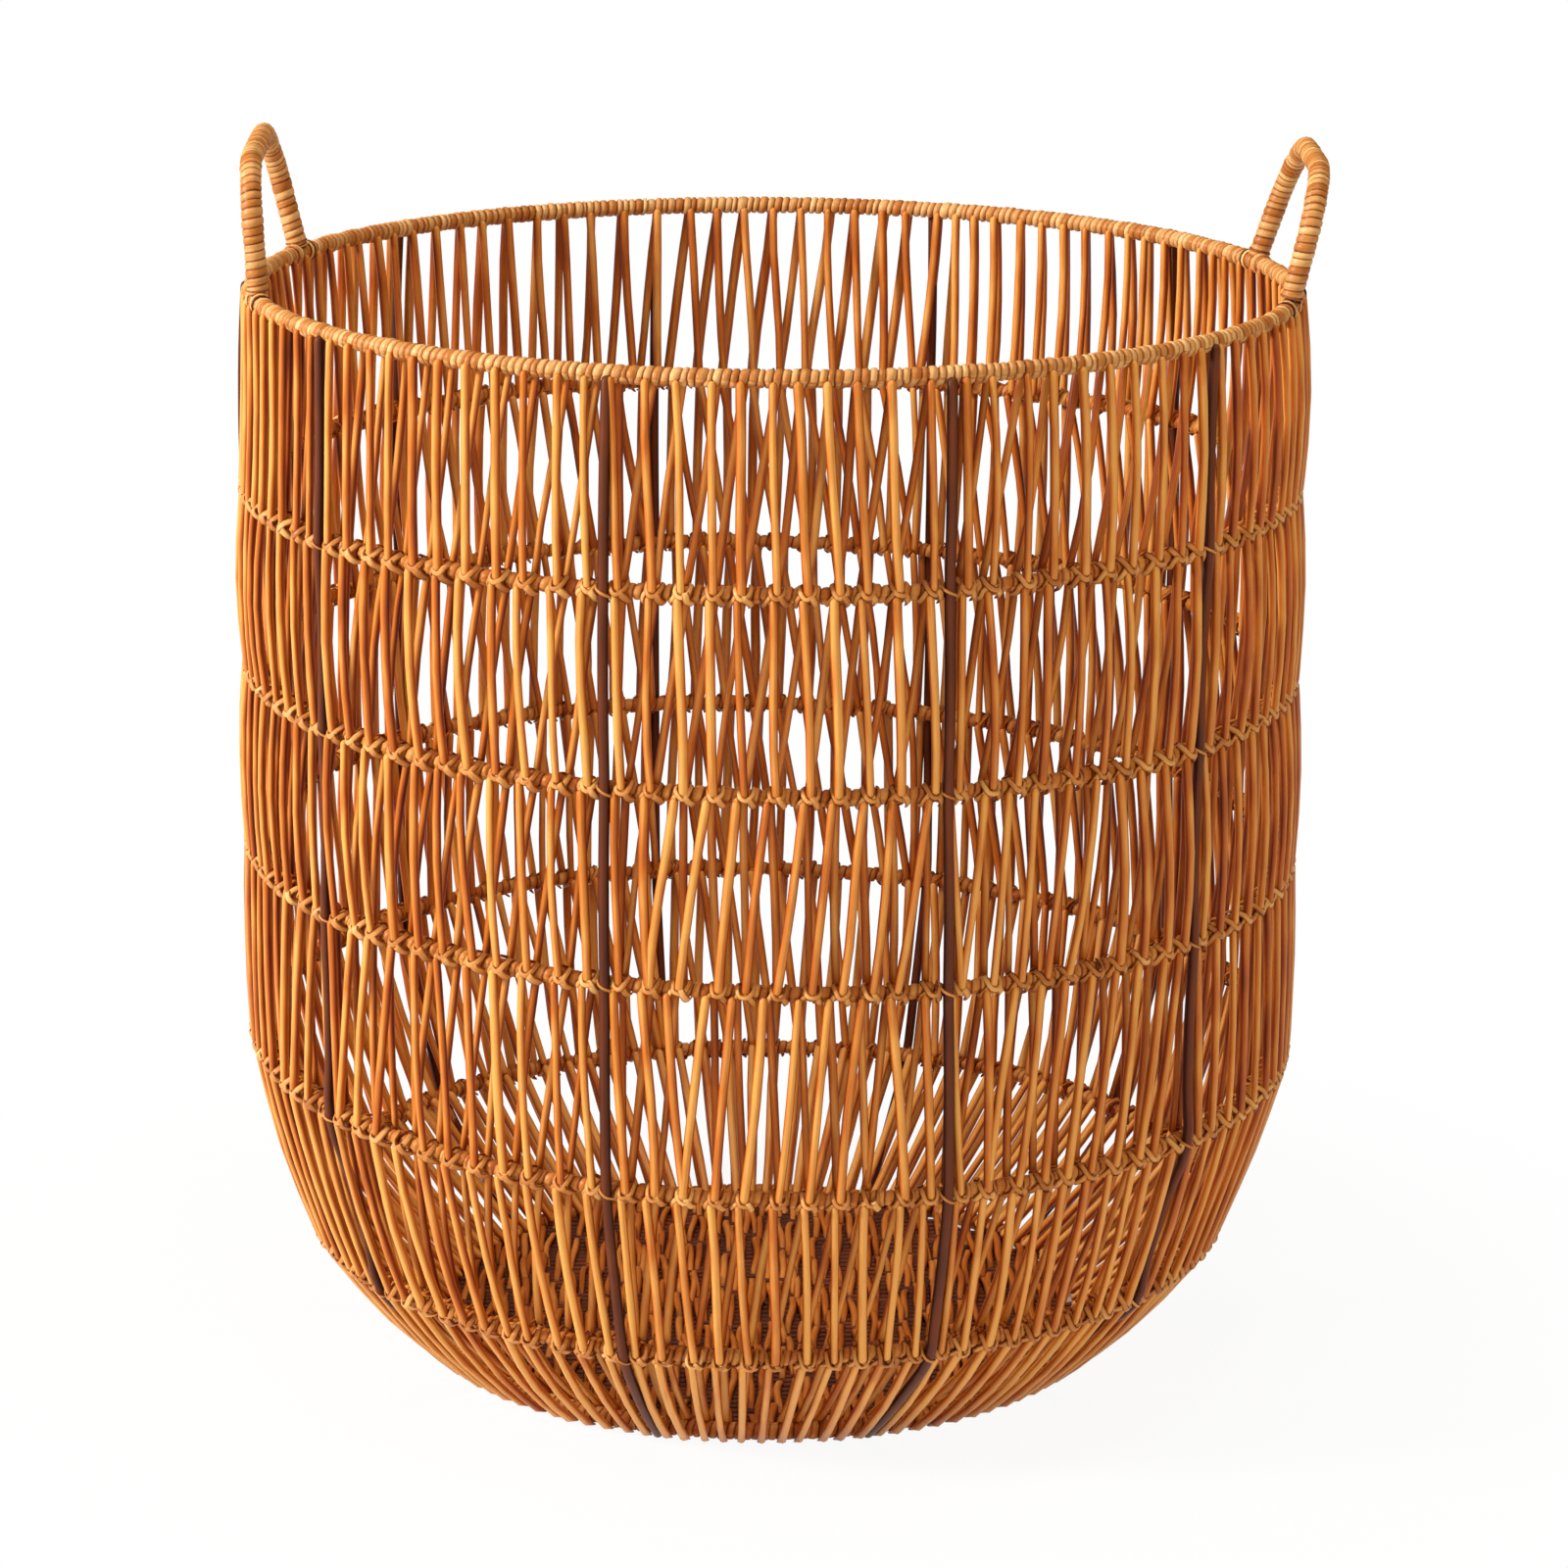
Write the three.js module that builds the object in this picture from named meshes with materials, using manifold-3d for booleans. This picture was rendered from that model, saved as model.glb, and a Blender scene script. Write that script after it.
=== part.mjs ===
// Round open storage basket: cane rods tied to wrapped hoops, ten dark metal uprights,
// a woven floor and two wrapped loop handles. Millimetres, +Z up.
// The origin is on the floor under the middle of the basket. The handles are at +X and -X.
// Angles round the basket are in degrees from the front, -Y, towards +X.
import * as THREE from 'three';
import { mergeVertices } from 'three/addons/utils/BufferGeometryUtils.js';
import Module from 'manifold-3d';

const wasm = await Module();
wasm.setup();

// Clearance between pieces that touch on the real basket.
const gap = 0.3;

// Rim: a metal hoop inside a cane wrap that is open along its underside.
const rimRadius = 238;
const rimHeight = 508;
const rimCoreRadius = 2.4;
const rimWrapRadius = 4.75;
const rimWrapSlit = 30;

// Five wrapped hoops, from the top one down. hoopSpreads is how much wider each is than the
// rim, from centre to centre line.
const hoopSpreads = [1.5, 2, 3, 3, -24];
const hoopRadii = hoopSpreads.map((spread) => rimRadius + spread);
const hoopHeights = [417, 330, 243, 151, 64];
const hoopTubeRadius = 4;

// Base ring, which the basket stands on, and the woven floor inside it.
const baseRadius = 157;
const baseTubeRadius = 5.2;
const floorThickness = 4.5;
const floorClearance = 2;

// Dark metal uprights outside the hoops.
const stakeCount = 10;
const stakeRadius = 2.4;

// Cane rods of the wall: in each section between two uprights one row passes outside
// the hoops and one inside, and the two rows lean opposite ways from hoop to hoop.
const rodsPerSection = 11;
const rodWidth = 4.5;
const rodThickness = 3.9;
const rodSpread = 1.7;
const outerEndTrim = 4;
const innerEndTrim = 1;
const lashingHeight = 4.5;

// Loop handles: a metal core, a cane winding on it and a binding round the rim at each foot.
// handlePlaces are the angles of their middles. At the rim, each is a little behind the side.
const handleHalfAngle = 16;
const handleHeight = 62;
const handleCornerRadius = 36;
const handlePlaces = { left: 268, right: 91.5 };
const handleLeanAngles = { left: 8, right: 16 };
const handleCoreRadius = 3;
const windingTurns = 22;
const windingThickness = 1.2;
const windingGap = 0.6;
const bindingRadius = 6.4;
const bindingLength = 14;
const bindingHeight = 15;
const bindingOpening = 4;

// Fineness of the faceted shapes.
const ringFacets = 36;
const tubeSides = 6;
const stepsPerTurn = 7;
const cornerSteps = 6;
const bindingSides = 8;

// Colours: honey cane, paler wrap, dark metal.
const cane = new THREE.MeshStandardMaterial({ color: 0xc9792f, roughness: 0.5, metalness: 0 });
const innerCane = new THREE.MeshStandardMaterial({ color: 0xa9571d, roughness: 0.55, metalness: 0 });
const wrapCane = new THREE.MeshStandardMaterial({ color: 0xcd8d4c, roughness: 0.5, metalness: 0 });
const darkMetal = new THREE.MeshStandardMaterial({ color: 0x4e352d, roughness: 0.35, metalness: 0.6 });

const facetAngle = 360 / ringFacets;
const baseHeight = baseTubeRadius * Math.cos(Math.PI / tubeSides);
const lashingTop = rimHeight - rimWrapRadius - gap;
const rodTopHeight = lashingTop - lashingHeight / 2;

// Radius of a ring's centre line at an angle: the rings are polygons with ringFacets sides.
function facetFactor(angle) {
  const within = ((angle % facetAngle) + facetAngle) % facetAngle;
  const fromMiddle = THREE.MathUtils.degToRad(within - facetAngle / 2);
  return Math.cos(Math.PI / ringFacets) / Math.cos(fromMiddle);
}

function roundPoint(angle, radius, height, sideways = 0) {
  const turn = THREE.MathUtils.degToRad(angle);
  return new THREE.Vector3(
    radius * Math.sin(turn) + sideways * Math.cos(turn),
    -radius * Math.cos(turn) + sideways * Math.sin(turn),
    height,
  );
}

// Closed solid through a row of rings of points; the row closes on itself or is capped.
function loft(rings, closesOnItself) {
  const count = rings[0].length;
  const positions = rings.flat().flatMap((point) => [point.x, point.y, point.z]);
  const indices = [];
  const spans = closesOnItself ? rings.length : rings.length - 1;
  for (let span = 0; span < spans; span += 1) {
    const here = span * count;
    const next = ((span + 1) % rings.length) * count;
    for (let side = 0; side < count; side += 1) {
      const beside = (side + 1) % count;
      indices.push(here + side, here + beside, next + beside);
      indices.push(here + side, next + beside, next + side);
    }
  }
  if (!closesOnItself) {
    const last = (rings.length - 1) * count;
    for (let side = 1; side < count - 1; side += 1) {
      indices.push(0, side + 1, side);
      indices.push(last, last + side, last + side + 1);
    }
  }
  const geometry = new THREE.BufferGeometry();
  geometry.setAttribute('position', new THREE.Float32BufferAttribute(positions, 3));
  geometry.setIndex(indices);
  return facingOut(geometry);
}

// Turns the faces over where the solid would be inside out.
function facingOut(geometry) {
  const place = geometry.getAttribute('position');
  const index = geometry.getIndex().array;
  const [a, b, c] = [new THREE.Vector3(), new THREE.Vector3(), new THREE.Vector3()];
  let volume = 0;
  for (let corner = 0; corner < index.length; corner += 3) {
    a.fromBufferAttribute(place, index[corner]);
    b.fromBufferAttribute(place, index[corner + 1]);
    c.fromBufferAttribute(place, index[corner + 2]);
    volume += a.dot(b.cross(c));
  }
  if (volume < 0) {
    for (let corner = 0; corner < index.length; corner += 3) {
      [index[corner + 1], index[corner + 2]] = [index[corner + 2], index[corner + 1]];
    }
  }
  return geometry;
}

function solidFrom(geometry) {
  const bare = new THREE.BufferGeometry();
  bare.setAttribute('position', geometry.getAttribute('position').clone());
  bare.setIndex(geometry.getIndex());
  const merged = mergeVertices(bare, 1e-4);
  return new wasm.Manifold(new wasm.Mesh({
    numProp: 3,
    vertProperties: new Float32Array(merged.getAttribute('position').array),
    triVerts: new Uint32Array(merged.getIndex().array),
  }));
}

function geometryFrom(solid) {
  const mesh = solid.getMesh();
  const geometry = new THREE.BufferGeometry();
  geometry.setAttribute('position', new THREE.Float32BufferAttribute(mesh.vertProperties, 3));
  geometry.setIndex(new THREE.BufferAttribute(new Uint32Array(mesh.triVerts), 1));
  return geometry;
}

function named(name, geometry, material) {
  geometry.computeVertexNormals();
  const mesh = new THREE.Mesh(geometry, material);
  mesh.name = name;
  return mesh;
}

// Corners of a regular section; startTurn is in degrees.
function sectionCorners(radius, sides, startTurn = 0) {
  return Array.from({ length: sides }, (unused, side) => {
    const turn = THREE.MathUtils.degToRad(startTurn + (360 * side) / sides);
    return [radius * Math.cos(turn), radius * Math.sin(turn)];
  });
}

// Ring round the basket with the given section, whose corners are [outward, upward].
function ringGeometry(radius, height, section) {
  const rings = [];
  for (let facet = 0; facet < ringFacets; facet += 1) {
    rings.push(section.map(([outward, upward]) => (
      roundPoint(facet * facetAngle, radius + outward, height + upward)
    )));
  }
  return loft(rings, true);
}

// Wrap section: an arc of cane round the core, open along the underside.
function openWrapSection(innerRadius, outerRadius, slit, outerSteps, innerSteps) {
  const from = -90 + slit / 2;
  const sweep = 360 - slit;
  const corner = (radius, turn) => {
    const angle = THREE.MathUtils.degToRad(turn);
    return [radius * Math.cos(angle), radius * Math.sin(angle)];
  };
  const section = [];
  for (let step = 0; step <= outerSteps; step += 1) {
    section.push(corner(outerRadius, from + (sweep * step) / outerSteps));
  }
  const innerCorner = innerRadius / Math.cos(THREE.MathUtils.degToRad(sweep / innerSteps / 2));
  for (let step = innerSteps; step >= 0; step -= 1) {
    section.push(corner(innerCorner, from + (sweep * step) / innerSteps));
  }
  return section;
}

// The wall's centre line in the plane of radius and height, from under the rim to the base
// ring.
const wallLevels = [
  { radius: rimRadius, height: rodTopHeight },
  ...hoopHeights.map((height, hoop) => ({ radius: hoopRadii[hoop], height })),
  { radius: baseRadius, height: baseHeight },
];

// Outward direction at each level, mitred so that the offset line keeps its distance.
const wallMitres = wallLevels.map((level, index) => {
  const normalOf = (upper, lower) => new THREE.Vector2(
    upper.height - lower.height,
    lower.radius - upper.radius,
  ).normalize();
  const above = normalOf(wallLevels[Math.max(index - 1, 0)], wallLevels[Math.max(index, 1)]);
  const last = wallLevels.length - 1;
  const below = normalOf(wallLevels[Math.min(index, last - 1)], wallLevels[Math.min(index + 1, last)]);
  const middle = above.clone().add(below).normalize();
  return middle.divideScalar(middle.dot(above));
});

// How far beside the centre line a rod or upright begins at a level, on either side.
function reachAt(index) {
  if (index === 0) {
    return rodSpread;
  }
  if (index < wallLevels.length - 1) {
    return hoopTubeRadius + gap;
  }
  const across = wallMitres[index];
  const extents = sectionCorners(baseTubeRadius, tubeSides)
    .map(([outward, upward]) => outward * across.x + upward * across.y);
  return Math.max(...extents) + gap;
}

function wallPoint(index, angle, offset, sideways) {
  const level = wallLevels[index];
  const mitre = wallMitres[index];
  const radius = level.radius * facetFactor(angle) + mitre.x * offset;
  return roundPoint(angle, radius, level.height + mitre.y * offset, sideways);
}

// Rings of a bar that follows the wall on one side of the hoops. angleAt gives its angle
// at each level, and the section's corners are [away from the hoops, sideways].
function wallBarRings(angleAt, side, section) {
  const rings = wallLevels.map((level, index) => section.map(([away, sideways]) => (
    wallPoint(index, angleAt(index), side * (reachAt(index) + away), sideways)
  )));
  const [before, end] = rings.slice(-2);
  const length = before[0].distanceTo(end[0]);
  const trim = side > 0 ? outerEndTrim : innerEndTrim;
  end.forEach((point, corner) => {
    const back = before[corner].clone().sub(point);
    point.addScaledVector(back, trim / length);
  });
  return rings;
}

function stakeGeometry(angle) {
  const section = sectionCorners(stakeRadius, tubeSides)
    .map(([away, sideways]) => [away + stakeRadius, sideways]);
  const rings = wallBarRings(() => angle, 1, section);
  rings[0].forEach((point) => {
    point.z = lashingTop;
  });
  return loft(rings, false);
}

// The lashing under the rim that ties the upper ends of one section's rods together.
function lashingGeometry(fromAngle, toAngle) {
  const angles = [fromAngle];
  const firstCorner = Math.floor(fromAngle / facetAngle + 1) * facetAngle;
  for (let angle = firstCorner; angle < toAngle - 0.01; angle += facetAngle) {
    angles.push(angle);
  }
  angles.push(toAngle);
  const halfWidth = rodSpread + rodThickness + gap;
  const corners = [[1, 1], [-1, 1], [-1, -1], [1, -1]];
  const rings = angles.map((angle) => corners.map(([outward, upward]) => roundPoint(
    angle,
    rimRadius * facetFactor(angle) + outward * halfWidth,
    rodTopHeight + (upward * lashingHeight) / 2,
  )));
  return loft(rings, false);
}

const sectionAngle = 360 / stakeCount;
const rodPitch = sectionAngle / (rodsPerSection + 1);

// How far a rod may lean towards an upright before it would touch it.
function rodLean() {
  const nearest = stakeRadius + rodWidth / 2 + gap;
  const smallestRadius = Math.min(...hoopRadii);
  const taken = THREE.MathUtils.radToDeg(nearest / smallestRadius);
  return Math.max(0, Math.min(rodPitch / 2, rodPitch - taken));
}

// One section of the wall: its outer and inner rods with the lashing that holds them.
function wallSectionGeometry(startAngle) {
  const lean = rodLean();
  const section = [[0, -rodWidth / 2], [0, rodWidth / 2], [rodThickness, 0]];
  const clearOfStake = THREE.MathUtils.radToDeg((stakeRadius + gap * 2) / rimRadius);
  const pieces = [solidFrom(lashingGeometry(
    startAngle + clearOfStake,
    startAngle + sectionAngle - clearOfStake,
  ))];
  for (let rod = 1; rod <= rodsPerSection; rod += 1) {
    for (const side of [1, -1]) {
      const angleAt = (index) => startAngle + rod * rodPitch + side * lean * (index % 2);
      pieces.push(solidFrom(loft(wallBarRings(angleAt, side, section), false)));
    }
  }
  return geometryFrom(pieces.reduce((joined, piece) => joined.add(piece)));
}

// Handle arch in its own plane: y along the chord between the feet, z up from the rim's
// centre line. Returns the point and direction at a distance along it from the -Y foot.
const footRadius = rimRadius * facetFactor(90 - handleHalfAngle);
const footSpread = footRadius * Math.sin(THREE.MathUtils.degToRad(handleHalfAngle));
const footReach = footRadius * Math.cos(THREE.MathUtils.degToRad(handleHalfAngle));
const footHeight = rimWrapRadius + gap;
const legLength = handleHeight - handleCornerRadius - footHeight;
const cornerLength = (Math.PI / 2) * handleCornerRadius;
const topLength = 2 * (footSpread - handleCornerRadius);
const archLength = 2 * legLength + 2 * cornerLength + topLength;

function archAt(distance) {
  if (distance > archLength / 2) {
    const mirrored = archAt(archLength - distance);
    return { y: -mirrored.y, z: mirrored.z, along: [mirrored.along[0], -mirrored.along[1]] };
  }
  if (distance <= legLength) {
    return { y: -footSpread, z: footHeight + distance, along: [0, 1] };
  }
  const turn = (distance - legLength) / handleCornerRadius;
  const middle = handleHeight - handleCornerRadius;
  if (turn < Math.PI / 2) {
    return {
      y: -footSpread + handleCornerRadius * (1 - Math.cos(turn)),
      z: middle + handleCornerRadius * Math.sin(turn),
      along: [Math.sin(turn), Math.cos(turn)],
    };
  }
  return {
    y: -footSpread + handleCornerRadius + distance - legLength - cornerLength,
    z: handleHeight,
    along: [1, 0],
  };
}

// A point beside the arch: radius away from it, at a turn round it, and further along it.
function besideArch(distance, radius, turn, further = 0) {
  const { y, z, along } = archAt(distance);
  const across = radius * Math.cos(turn);
  return new THREE.Vector3(
    radius * Math.sin(turn),
    y - across * along[1] + further * along[0],
    z + across * along[0] + further * along[1],
  );
}

function handleCoreGeometry() {
  const stops = [0, legLength];
  for (let step = 1; step <= cornerSteps; step += 1) {
    stops.push(legLength + (cornerLength * step) / cornerSteps);
  }
  const all = [...stops, ...stops.map((stop) => archLength - stop).reverse()];
  const rings = all.map((distance) => Array.from({ length: tubeSides }, (unused, side) => (
    besideArch(distance, handleCoreRadius, (2 * Math.PI * side) / tubeSides)
  )));
  return loft(rings, false);
}

// The winding: one unbroken flat cane strand wound round the core between the bindings.
const windingStart = bindingHeight + gap - footHeight;
const windingPitch = (archLength - 2 * windingStart) / (windingTurns + 1);
// The core's straight facets reach this far inside the bends.
const coreSag = handleCornerRadius * (1 - Math.cos(Math.PI / 4 / cornerSteps));
const coreSeat = (handleCoreRadius + coreSag + gap) / Math.cos(Math.PI / stepsPerTurn);
const windingOuter = coreSeat + windingThickness;
const strandWidth = windingPitch * (1 - windingOuter / handleCornerRadius) - windingGap;

function windingGeometry() {
  const rings = [];
  for (let step = 0; step <= windingTurns * stepsPerTurn; step += 1) {
    const turns = step / stepsPerTurn;
    const distance = windingStart + windingPitch * (turns + 0.5);
    const turn = 2 * Math.PI * turns;
    rings.push([
      besideArch(distance, coreSeat, turn, -strandWidth / 2),
      besideArch(distance, windingOuter, turn, -strandWidth / 2),
      besideArch(distance, windingOuter, turn, strandWidth / 2),
      besideArch(distance, coreSeat, turn, strandWidth / 2),
    ]);
  }
  return { geometry: loft(rings, false), rings };
}

// Least distance between the edges of neighbouring turns of the winding.
function leastWindingGap(rings) {
  let least = Infinity;
  for (let step = 0; step + stepsPerTurn < rings.length; step += 1) {
    const after = rings[step + stepsPerTurn];
    least = Math.min(least, rings[step][2].distanceTo(after[1]), rings[step][3].distanceTo(after[0]));
  }
  return least;
}

// A round bar between two points.
function barSolid(from, to, radius) {
  const length = from.distanceTo(to);
  const geometry = new THREE.CylinderGeometry(radius, radius, length, bindingSides);
  const direction = to.clone().sub(from).normalize();
  geometry.applyQuaternion(new THREE.Quaternion().setFromUnitVectors(new THREE.Vector3(0, 1, 0), direction));
  const middle = from.clone().add(to).multiplyScalar(0.5);
  geometry.translate(middle.x, middle.y, middle.z);
  return solidFrom(geometry);
}

// The binding at one foot: cane round the rim and up round the leg, open below the rim.
// It is made for a handle at +X, with side -1 for the foot at -Y. The handle is turned by
// turned degrees afterwards, so the rim's facets lie back by as much here.
function bindingGeometry(side, lean, turned) {
  const footAngle = 90 + side * handleHalfAngle;
  const facetMiddle = (Math.floor((footAngle + turned) / facetAngle) + 0.5) * facetAngle - turned;
  const onRim = roundPoint(footAngle, rimRadius * facetFactor(footAngle + turned), rimHeight);
  const foot = roundPoint(footAngle, footRadius, rimHeight);
  const along = roundPoint(facetMiddle, 0, 0, 1);
  const tilt = THREE.MathUtils.degToRad(lean);
  const up = new THREE.Vector3(Math.sin(tilt), 0, Math.cos(tilt));
  const atRim = (distance) => onRim.clone().addScaledVector(along, distance);
  const onLeg = (distance) => foot.clone().addScaledVector(up, distance);
  const clear = 1 / Math.cos(Math.PI / bindingSides);
  const half = bindingLength / 2;
  const rimBore = barSolid(atRim(-bindingLength), atRim(bindingLength), (rimWrapRadius + gap) * clear);
  const legBore = barSolid(onLeg(0), onLeg(bindingHeight * 2), (handleCoreRadius + gap) * clear);
  const below = new THREE.BoxGeometry(bindingLength * 2, bindingLength * 2, bindingLength);
  below.translate(foot.x, foot.y, rimHeight - bindingOpening - bindingLength / 2);
  return geometryFrom(
    barSolid(atRim(-half), atRim(half), bindingRadius)
      .add(barSolid(onLeg(0), onLeg(bindingHeight), bindingRadius))
      .subtract(rimBore)
      .subtract(legBore)
      .subtract(solidFrom(below)),
  );
}

// One handle: the leaning arch and its bindings on the rim, made at +X and turned to its place.
function handleGroup(name) {
  const lean = handleLeanAngles[name];
  const turned = handlePlaces[name] - 90;
  const group = new THREE.Group();
  group.rotation.z = THREE.MathUtils.degToRad(turned);
  const arch = new THREE.Group();
  arch.position.set(footReach, 0, rimHeight);
  arch.rotation.y = THREE.MathUtils.degToRad(lean);
  arch.add(named(`handle_${name}_core`, handleCoreGeometry(), darkMetal));
  const winding = windingGeometry();
  arch.add(named(`handle_${name}_winding`, winding.geometry, wrapCane));
  console.log(`handle_${name}_winding least gap to itself: ${leastWindingGap(winding.rings).toFixed(2)} mm`);
  group.add(arch);
  group.add(named(`handle_${name}_binding_1`, bindingGeometry(-1, lean, turned), wrapCane));
  group.add(named(`handle_${name}_binding_2`, bindingGeometry(1, lean, turned), wrapCane));
  return group;
}

function floorGeometry() {
  const radius = baseRadius - baseTubeRadius - gap;
  const rings = [];
  for (let facet = 0; facet < ringFacets; facet += 1) {
    rings.push(roundPoint(facet * facetAngle, radius, 0));
  }
  const shape = new THREE.Shape(rings.map((point) => new THREE.Vector2(point.x, point.y)));
  const geometry = new THREE.ExtrudeGeometry(shape, { depth: floorThickness, bevelEnabled: false });
  geometry.translate(0, 0, floorClearance);
  const bare = new THREE.BufferGeometry();
  bare.setAttribute('position', geometry.getAttribute('position'));
  return mergeVertices(bare, 1e-4);
}

const basket = new THREE.Group();

basket.add(named('rim_core', ringGeometry(rimRadius, rimHeight, sectionCorners(rimCoreRadius, 4)), darkMetal));
basket.add(named('rim_wrap', ringGeometry(
  rimRadius,
  rimHeight,
  openWrapSection(rimCoreRadius + gap, rimWrapRadius, rimWrapSlit, 6, 4),
), wrapCane));

hoopRadii.forEach((radius, hoop) => {
  const section = sectionCorners(hoopTubeRadius, tubeSides);
  basket.add(named(`hoop_${hoop + 1}`, ringGeometry(radius, hoopHeights[hoop], section), wrapCane));
});

basket.add(named('base_ring', ringGeometry(
  baseRadius,
  baseHeight,
  sectionCorners(baseTubeRadius, tubeSides),
), wrapCane));
basket.add(named('floor_mat', floorGeometry(), innerCane));

for (let stake = 0; stake < stakeCount; stake += 1) {
  const angle = (stake + 0.5) * sectionAngle;
  const number = String(stake + 1).padStart(2, '0');
  basket.add(named(`stake_${number}`, stakeGeometry(angle), darkMetal));
  basket.add(named(`wall_section_${number}`, wallSectionGeometry(angle), cane));
}

basket.add(handleGroup('right'), handleGroup('left'));

export default basket;
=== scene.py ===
"""Looks of the round cane basket: every rod, tie and turn of wrap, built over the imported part."""

import math

import bpy
import numpy as np
from mathutils import Matrix, Vector


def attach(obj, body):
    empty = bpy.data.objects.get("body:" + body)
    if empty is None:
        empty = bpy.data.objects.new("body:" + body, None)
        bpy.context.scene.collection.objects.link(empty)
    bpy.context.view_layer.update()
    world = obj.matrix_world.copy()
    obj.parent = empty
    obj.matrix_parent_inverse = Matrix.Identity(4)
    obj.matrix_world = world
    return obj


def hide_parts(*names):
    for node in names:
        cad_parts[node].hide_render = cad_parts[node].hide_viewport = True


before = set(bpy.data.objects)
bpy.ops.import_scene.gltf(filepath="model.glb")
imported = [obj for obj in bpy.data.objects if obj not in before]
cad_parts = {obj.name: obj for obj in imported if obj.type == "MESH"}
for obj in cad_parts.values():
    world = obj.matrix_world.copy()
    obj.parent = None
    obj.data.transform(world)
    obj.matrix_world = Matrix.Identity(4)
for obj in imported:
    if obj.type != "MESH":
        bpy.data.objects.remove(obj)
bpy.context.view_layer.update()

# Lengths are in millimetres until a mesh is made. Angles round the basket are in degrees from
# the front, -Y, towards +X, as in the part's source.
MM = 0.001
rng = np.random.default_rng(7)

# Centre lines of the rim, the five hoops and the base ring.
RIM_RADIUS = 238
RIM_HEIGHT = 508
HOOP_RADII = [239.5, 240, 241, 241, 214]
HOOP_HEIGHTS = [417, 330, 243, 151, 64]
BASE_RADIUS = 158.1
BASE_HEIGHT = 4.5
RADII = np.array([RIM_RADIUS, *HOOP_RADII, BASE_RADIUS], float)
HEIGHTS = np.array([RIM_HEIGHT, *HOOP_HEIGHTS, BASE_HEIGHT], float)
RIM, BASE = 0, 6
LOWEST_BAND = BASE - 1
HOOPS = range(1, 6)

# The rings of a handmade basket aren't quite level, round or over one another. Rises are per
# mm towards +X and towards +Y, shifts are towards +X, and widths are added at both sides.
RISE_RIGHT = [-.0012, .0019, -.0123, -.0201, -.0174, .0006, 0]
RISE_BACK = [-.0131, -.0061, -.0005, .0023, .012, .0016, 0]
SHIFTS = [1.6, .8, 1.2, 1.3, 1.7, .5, -1.9]
WIDTHS = [1.4, 0, 0, 0, 0, 0, 0]

# Half thicknesses, and how far a rod or an upright sinks into a hoop's wrap.
RIM_WRAP = 4.2
HOOP_WRAP = 4.0
BASE_WRAP = 4.4
OUTER_ROD = 2.0
INNER_ROD = 1.8
UPRIGHT = 2.4
SINK = .6

# The rods stand at 120 places round the basket. Ten of the places are taken by uprights, which
# stand a little to one side of them. Three, seen best in the photograph, also wander on the
# way from the rim down to the base ring.
PLACES = 120
SPACING = 360 / PLACES
UPRIGHT_PLACES = [6, 17, 30, 42, 54, 65, 76, 90, 102, 114]
UPRIGHT_SHIFTS = [0, 0, 0, 0, -1.3, -.9, 1.2, 0, 0, 1.2]
UPRIGHT_WANDERS = {
    0: [0, 0, 0, .2, .4, 1.4, -.5],
    1: [1, .5, -.6, -1, -1.4, -.5, 1],
    8: [-.4, -.1, .1, .2, .2, -.1, -.6],
}
ROD_PLACES = np.setdiff1d(np.arange(PLACES), UPRIGHT_PLACES)

# Degrees from an upright to the ties at both sides of it.
BESIDE_UPRIGHT = 1.7

UP = np.array([0.0, 0.0, 1.0])

# No point of the basket is lower than this.
FLOOR_GAP = .2


def outward(angle):
    turn = np.radians(angle)
    return np.stack([np.sin(turn), -np.cos(turn), np.zeros_like(turn)], -1)


def sideways(angle):
    turn = np.radians(angle)
    return np.stack([np.cos(turn), np.sin(turn), np.zeros_like(turn)], -1)


def centre(level, angle):
    """Point on the centre line of the rim, a hoop or the base ring."""
    radius = RADII[level] + WIDTHS[level] * np.sin(np.radians(angle)) ** 2
    point = outward(angle) * radius[..., None]
    point[..., 0] += SHIFTS[level]
    rise = point[..., 0] * RISE_RIGHT[level] + point[..., 1] * RISE_BACK[level]
    point[..., 2] = HEIGHTS[level] + rise
    return point


def wall_normals():
    """The wall's outward normal at each level, as (outward, upward)."""
    across = np.diff(RADII)
    down = -np.diff(HEIGHTS)
    normal = np.stack([down, across], -1)
    normal /= np.linalg.norm(normal, axis=1, keepdims=True)
    both = np.vstack([normal[:1], normal[:-1] + normal[1:], normal[-1:]])
    return both / np.linalg.norm(both, axis=1, keepdims=True)


NORMALS = wall_normals()


def curve_through(points, per_span):
    """Smooth curves through rows of points; the array is (curve, point, axis)."""
    first = 2 * points[:, :1] - points[:, 1:2]
    last = 2 * points[:, -1:] - points[:, -2:-1]
    padded = np.concatenate([first, points, last], 1)
    spans = points.shape[1] - 1
    a, b, c, d = (padded[:, k:k + spans, None] for k in range(4))
    t = np.arange(per_span)[None, None, :, None] / per_span
    bend = 2 * a - 5 * b + 4 * c - d
    twist = 3 * b - a - 3 * c + d
    curve = .5 * (2 * b + (c - a) * t + bend * t ** 2 + twist * t ** 3)
    curve = curve.reshape(points.shape[0], -1, points.shape[2])
    return np.concatenate([curve, points[:, -1:]], 1)


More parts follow.
